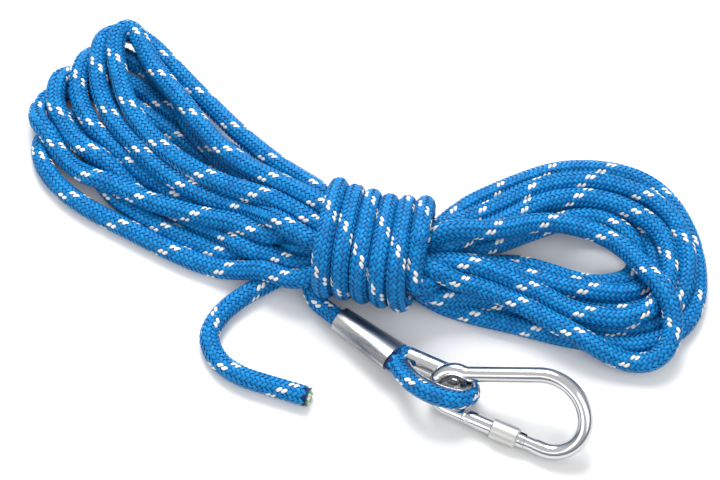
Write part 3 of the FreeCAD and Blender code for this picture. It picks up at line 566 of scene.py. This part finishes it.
# ---------------------------------------------------------------- operators
class ROPE_OT_hank(bpy.types.Operator):
    """Lay the rope's hank, its tie, its lead and its tail as one cord."""

    bl_idname = "rope.hank"
    bl_label = "Hank"

    def execute(self, context):
        sizes, colours = context.scene.rope_sizes, context.scene.rope_colours
        start, middle, end = planned_route()
        loops = settle(start, middle, end)
        points = np.concatenate([np.array(start, float), loops, np.array(end[1:], float)]) * MM
        cord = nurbs("rope", [tuple(p) for p in points], sizes.core_radius)
        # The tube under the floats is near-black navy as painted shade: it stands for the sheath's yarns lying
        # in shade between the floats.
        painted_shade, _, _ = material("rope_painted_shade_bed", (0.0, 0.02, 0.09), 0.85)
        cord.data.materials.append(painted_shade)
        blue = yarn_material("rope_blue_yarn", colours.yarn, colours.yarn_dark, 0.06)
        white = yarn_material("rope_white_yarn", colours.tracer, (0.5, 0.55, 0.6), 0.2)
        line = line_of([tuple(p) for p in points])
        gripped = line_of([tuple(p) for p in points[:len(start)]])
        skins = braid("rope_braid", line, (blue, white), pieces=4, full=(length_of(gripped), sizes.slack_swell))
        ahead, side, up = frames_along(line)
        end_piece = cut_end(Vector(line[-1]) - Vector(ahead[-1]) * 0.0002, Vector(ahead[-1]), Vector(side[-1]),
                            Vector(up[-1]), sizes.diameter / 2)
        for piece in (cord, *skins, end_piece):
            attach(piece, ROPE_BODY)
        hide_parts("rope_hank_left", "rope_hank_middle", "rope_hank_right", "rope_wrap",
                    "rope_tail_sheath", "rope_tail_core", "rope_lead_sheath", "rope_lead_core")
        return {"FINISHED"}


def cut_end(place, ahead, side, up, radius):
    """The tail's cut end: the core's yarns, bedded in a singed rim."""
    shape = bmesh.new()
    bmesh.ops.create_circle(shape, cap_ends=True, segments=20, radius=radius)
    lip = bmesh.ops.extrude_face_region(shape, geom=shape.faces[:])
    raised = [v for v in lip["geom"] if isinstance(v, bmesh.types.BMVert)]
    bmesh.ops.translate(shape, verts=raised, vec=(0, 0, 0.0007))
    shape.faces.ensure_lookup_table()
    top = max(shape.faces, key=lambda each: each.calc_center_median().z)
    bmesh.ops.inset_region(shape, faces=[top], thickness=radius * 0.22, depth=-0.0003)
    draw = np.random.default_rng(5)
    spots = [(0.0, 0.0)] + [(0.36, step * math.pi / 3) for step in range(6)] + [
        (0.70, (step + 0.5) * math.pi / 5.5) for step in range(11)]
    for far, angle in spots:
        yarn = bmesh.ops.create_uvsphere(shape, u_segments=8, v_segments=5, radius=radius * 0.19)
        bmesh.ops.scale(shape, verts=yarn["verts"], vec=(1.0, 1.0, 0.7 + 0.5 * draw.random()))
        bmesh.ops.translate(shape, verts=yarn["verts"], vec=(
            radius * far * math.cos(angle), radius * far * math.sin(angle), 0.0004 + 0.0003 * draw.random()))
        kind = 2 if draw.random() < 0.25 else 1
        for each in {f for v in yarn["verts"] for f in v.link_faces}:
            each.material_index = kind
    turn = Matrix((side, up, ahead)).transposed().to_4x4()
    bmesh.ops.transform(shape, matrix=Matrix.Translation(place) @ turn, verts=shape.verts)
    bmesh.ops.recalc_face_normals(shape, faces=shape.faces)
    for each in shape.faces:
        each.smooth = True
    mesh = bpy.data.meshes.new("rope_cut_end")
    shape.to_mesh(mesh)
    shape.free()
    singed, tree, shader = material("rope_singed_rim", (0.03, 0.045, 0.07), 0.45)
    roughen(tree, shader, 900.0, 3.0, 0.5, 0.0002)
    mesh.materials.append(singed)
    for name, colour in (("rope_core_white", (0.72, 0.76, 0.70)), ("rope_core_green", (0.16, 0.42, 0.16))):
        yarn, tree, shader = material(name, colour, 0.7)
        roughen(tree, shader, 2500.0, 2.0, 0.6, 0.0001)
        mesh.materials.append(yarn)
    return link(bpy.data.objects.new("rope_cut_end", mesh))


class ROPE_OT_eye(bpy.types.Operator):
    """Lay the rope round the thimble, from the ferrule and back into it."""

    bl_idname = "rope.eye"
    bl_label = "Eye"

    def execute(self, context):
        sizes = context.scene.rope_sizes
        points = [tuple((EYE_ORIGIN + EYE_ALONG * x + EYE_ACROSS * y) * MM) for x, y in EYE]
        cord = nurbs("rope_eye", points, sizes.core_radius)
        # The eye's tube takes the same near-black navy, painted shade between its floats.
        cord.data.materials.append(bpy.data.materials["rope_painted_shade_bed"])
        line = line_of(points)
        yarns = [bpy.data.materials[name] for name in ("rope_blue_yarn", "rope_white_yarn")]
        skins = braid("rope_eye_braid", line, yarns, full=(ALL_ALONG, sizes.eye_swell))
        for piece in (cord, *skins):
            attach(piece, ROPE_BODY)
        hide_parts("rope_eye_sheath", "rope_eye_core")
        return {"FINISHED"}


class ROPE_OT_metal(bpy.types.Operator):
    """Give the metal parts their finishes."""

    bl_idname = "rope.metal"
    bl_label = "Metal finishes"

    def execute(self, context):
        plated = metal_material("plated_steel_finish", (0.60, 0.61, 0.62), 0.14, scale=900.0, strength=0.05)
        satin = metal_material("satin_finish", (0.56, 0.56, 0.55), 0.42, scale=1500.0, strength=0.5)
        pressed = brushed_material("pressed_finish", (0.17, 0.18, 0.20), (0.52, 0.52, 0.53), -23.5)
        steel = metal_material("thimble_finish", (0.58, 0.59, 0.60), 0.18, scale=700.0, strength=0.05)
        dark = metal_material("pin_finish", (0.35, 0.35, 0.36), 0.3, scale=700.0, strength=0.05)
        brass = metal_material("brass_finish", (0.85, 0.62, 0.3), 0.25, scale=700.0, strength=0.05)
        finishes = {
            "ferrule": pressed, "thimble": steel, "carabiner_body": plated, "gate": plated,
            "gate_hinge_pin": dark, "gate_catch_pin": dark, "gate_spring": dark, "gate_plunger": brass,
            "locking_sleeve": satin, "rope_in_ferrule": bpy.data.materials["rope_blue_yarn"],
        }
        for name, finish in finishes.items():
            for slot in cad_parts[name].material_slots:
                slot.material = finish
        return {"FINISHED"}


# The camera looks down at 60 degrees, from 15 degrees to the side of the hank's front.
CAMERA_AT = Vector((0.1165, -0.4397, 0.8124))
CAMERA_LOOKS = Vector((-0.1294, 0.4830, -0.8660))
CAMERA_ACROSS = Vector((0.9659, 0.2588, 0.0))
FOCAL_LENGTH = 86.85


class ROPE_OT_stage(bpy.types.Operator):
    """Set the floor, the lights and the camera."""

    bl_idname = "rope.stage"
    bl_label = "Stage"

    def execute(self, context):
        scene = context.scene
        shape = bmesh.new()
        bmesh.ops.create_grid(shape, x_segments=1, y_segments=1, size=4.0)
        mesh = bpy.data.meshes.new("floor")
        shape.to_mesh(mesh)
        shape.free()
        floor = link(bpy.data.objects.new("floor", mesh))
        pale, _, _ = material("floor", scene.rope_colours.floor, 0.9)
        mesh.materials.append(pale)
        world = bpy.data.worlds.new("studio")
        world.use_nodes = True
        tree = world.node_tree
        back = tree.nodes["Background"]
        back.inputs["Strength"].default_value = 0.8
        aim = node(tree, "ShaderNodeTexCoord", -800, 0)
        height = node(tree, "ShaderNodeSeparateXYZ", -600, 0)
        ramp = node(tree, "ShaderNodeValToRGB", -400, 0)
        two_stops(ramp, (0.02, (0.16, 0.17, 0.19)), (0.75, (1.0, 1.0, 1.0)))
        connect(tree, (
            (aim.outputs["Generated"], height.inputs[0]), (height.outputs["Z"], ramp.inputs[0]),
            (ramp.outputs[0], back.inputs["Color"]),
        ))
        scene.world = world
        for name, place, size, power in (
            ("key", (-0.35, 0.9, 1.3), 0.8, 30.0),
            ("fill", (0.9, -0.5, 1.0), 1.0, 6.0),
            ("front", (-0.6, -1.0, 0.7), 0.8, 4.0),
        ):
            lamp = bpy.data.lights.new(name, "AREA")
            lamp.size = size
            lamp.energy = power
            holder = link(bpy.data.objects.new(name, lamp))
            holder.location = place
            holder.rotation_euler = (Vector((0, 0, 0.02)) - Vector(place)).to_track_quat("-Z", "Y").to_euler()
        lens = bpy.data.cameras.new("camera")
        lens.lens = FOCAL_LENGTH
        lens.sensor_width = 36.0
        lens.shift_x = -0.025
        lens.shift_y = 0.0125
        lens.clip_start = 0.01
        camera = link(bpy.data.objects.new("camera", lens))
        camera.location = CAMERA_AT
        upward = CAMERA_ACROSS.cross(CAMERA_LOOKS)
        camera.rotation_euler = Matrix((CAMERA_ACROSS, upward, -CAMERA_LOOKS)).transposed().to_euler()
        scene.camera = camera
        scene.view_settings.view_transform = "Standard"
        return {"FINISHED"}


class ROPE_PT_panel(bpy.types.Panel):
    """The rope's sizes, colours and steps."""

    bl_label = "Rope"
    bl_idname = "ROPE_PT_panel"
    bl_space_type = "VIEW_3D"
    bl_region_type = "UI"
    bl_category = "Rope"

    def draw(self, context):
        for group in (context.scene.rope_sizes, context.scene.rope_colours):
            for name in group.bl_rna.properties.keys():
                if name not in ("rna_type", "name"):
                    self.layout.prop(group, name)
        for step in STEPS:
            self.layout.operator(step.bl_idname)


STEPS = (ROPE_OT_hank, ROPE_OT_eye, ROPE_OT_metal, ROPE_OT_stage)
CLASSES = (RopeSizes, RopeColours, *STEPS, ROPE_PT_panel)


def register():
    for each in CLASSES:
        bpy.utils.register_class(each)
    bpy.types.Scene.rope_sizes = PointerProperty(type=RopeSizes)
    bpy.types.Scene.rope_colours = PointerProperty(type=RopeColours)


def unregister():
    del bpy.types.Scene.rope_colours
    del bpy.types.Scene.rope_sizes
    for each in reversed(CLASSES):
        bpy.utils.unregister_class(each)


def main():
    """Build the whole scene."""
    register()
    bpy.ops.rope.hank()
    bpy.ops.rope.eye()
    bpy.ops.rope.metal()
    bpy.ops.rope.stage()


if __name__ == "__main__":
    main()
